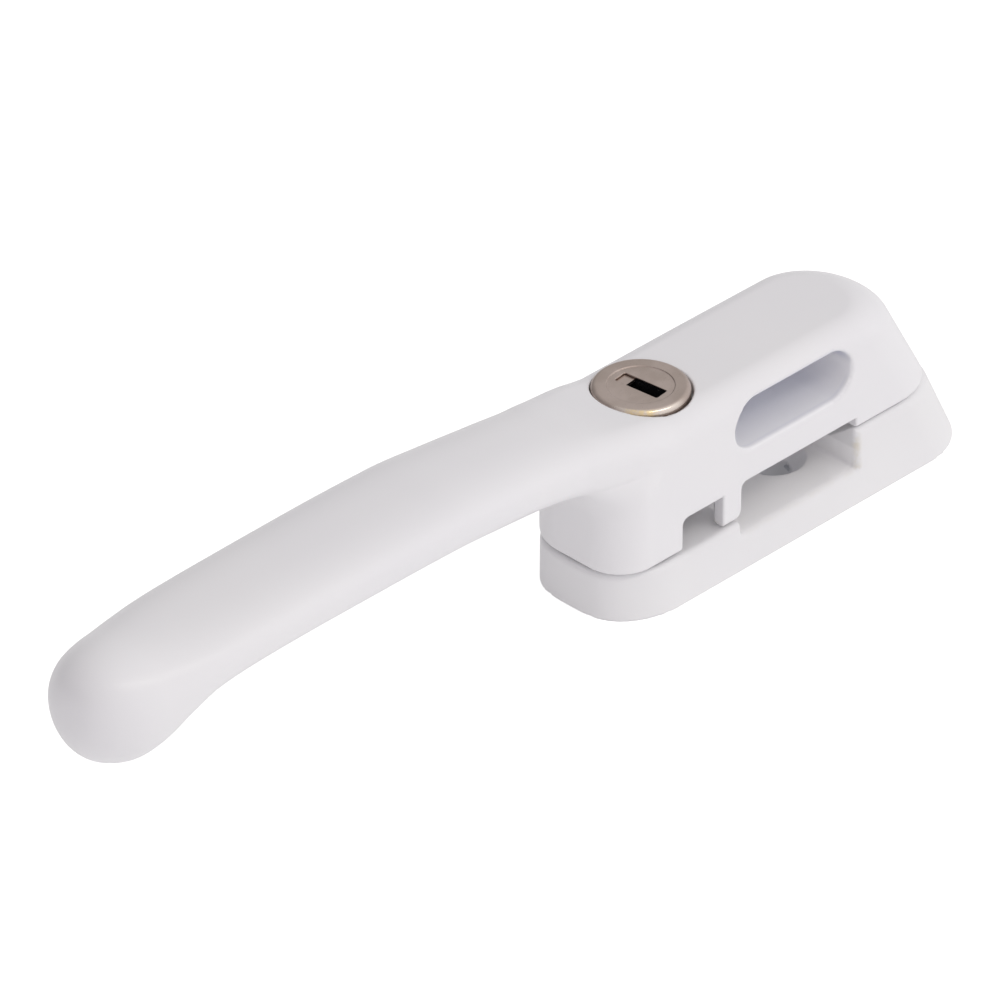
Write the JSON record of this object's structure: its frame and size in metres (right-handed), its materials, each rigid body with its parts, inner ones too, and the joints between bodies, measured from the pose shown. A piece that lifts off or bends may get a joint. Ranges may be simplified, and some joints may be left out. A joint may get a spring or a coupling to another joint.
{
  "type": "keyed window lock",
  "caption": "Keyed casement window fastener: long ball-ended lever and slotted body on a narrow base plate, with a key cylinder that locks it to a keeper post.",
  "frame": {"origin": "handle pivot axis where it meets the mounting face of the base plate", "axes": "+Z out from the sash along the pivot axis, -X along the closed lever, -Y towards the window frame and its keep"},
  "size_m": [0.1631, 0.0216, 0.034],
  "materials": {
    "base_coat": "satin white powder coat",
    "handle_coat": "satin white powder coat",
    "spindle_steel": "ground steel",
    "bush_brass": "turned brass",
    "washer_nylon": "dark nylon",
    "spring_steel": "blued spring steel",
    "zinc_steel": "zinc plated",
    "clip_steel": "phosphated spring steel",
    "barrel_zinc": "die cast zinc",
    "plug_brass": "turned brass",
    "satin_nickel": "satin nickel",
    "wafer_brass": "stamped brass",
    "spring_bronze": "phosphor bronze wire"
  },
  "bodies": {
    "base": {"base_plate": "base_coat", "pivot_bush": "bush_brass", "disc_spring": "spring_steel", "thrust_washer": "washer_nylon"},
    "handle": {"handle": "handle_coat", "pivot_spindle": "spindle_steel", "flat_washer": "zinc_steel", "circlip": "clip_steel", "lock_barrel": "barrel_zinc", "barrel_pin": "spindle_steel"},
    "plug": {"lock_plug": "plug_brass", "plug_scalp": "satin_nickel", "wafer_springs": "spring_bronze", "locking_tongue": "zinc_steel", "tongue_pin": "spindle_steel", "plug_clip": "clip_steel"},
    "shutter": {"dust_shutter": "satin_nickel"},
    "wafer_1": {"wafer_1": "wafer_brass"},
    "wafer_2": {"wafer_2": "wafer_brass"},
    "wafer_3": {"wafer_3": "wafer_brass"},
    "wafer_4": {"wafer_4": "wafer_brass"},
    "wafer_5": {"wafer_5": "wafer_brass"}
  },
  "joints": [
    {"name": "handle_swing", "type": "hinge", "parent": "base", "child": "handle", "pos_m": [0, 0, 0], "axis": [0, 0, 1], "range_deg": [-90, 0]},
    {"name": "plug_turn", "type": "hinge", "parent": "handle", "child": "plug", "pos_m": [-0.0407, 0, 0.02], "axis": [0, 0, 1], "range_deg": [0, 90]},
    {"name": "wafer_1_slide", "type": "slide", "parent": "plug", "child": "wafer_1", "axis": [0.1045, -0.9945, 0], "range_m": [0, 0.00065]},
    {"name": "wafer_2_slide", "type": "slide", "parent": "plug", "child": "wafer_2", "axis": [0.1045, -0.9945, 0], "range_m": [0, 0.00065]},
    {"name": "wafer_3_slide", "type": "slide", "parent": "plug", "child": "wafer_3", "axis": [0.1045, -0.9945, 0], "range_m": [0, 0.00065]},
    {"name": "wafer_4_slide", "type": "slide", "parent": "plug", "child": "wafer_4", "axis": [0.1045, -0.9945, 0], "range_m": [0, 0.00065]},
    {"name": "wafer_5_slide", "type": "slide", "parent": "plug", "child": "wafer_5", "axis": [0.1045, -0.9945, 0], "range_m": [0, 0.00065]},
    {"name": "shutter_slide", "type": "slide", "parent": "plug", "child": "shutter", "axis": [-0.1045, 0.9945, 0], "range_m": [0, 0.0017]}
  ],
  "couplings": [
    {"joint": "wafer_2_slide", "follows": "wafer_1_slide", "ratio": 1},
    {"joint": "wafer_3_slide", "follows": "wafer_1_slide", "ratio": 1},
    {"joint": "wafer_4_slide", "follows": "wafer_1_slide", "ratio": 1},
    {"joint": "wafer_5_slide", "follows": "wafer_1_slide", "ratio": 1}
  ]
}
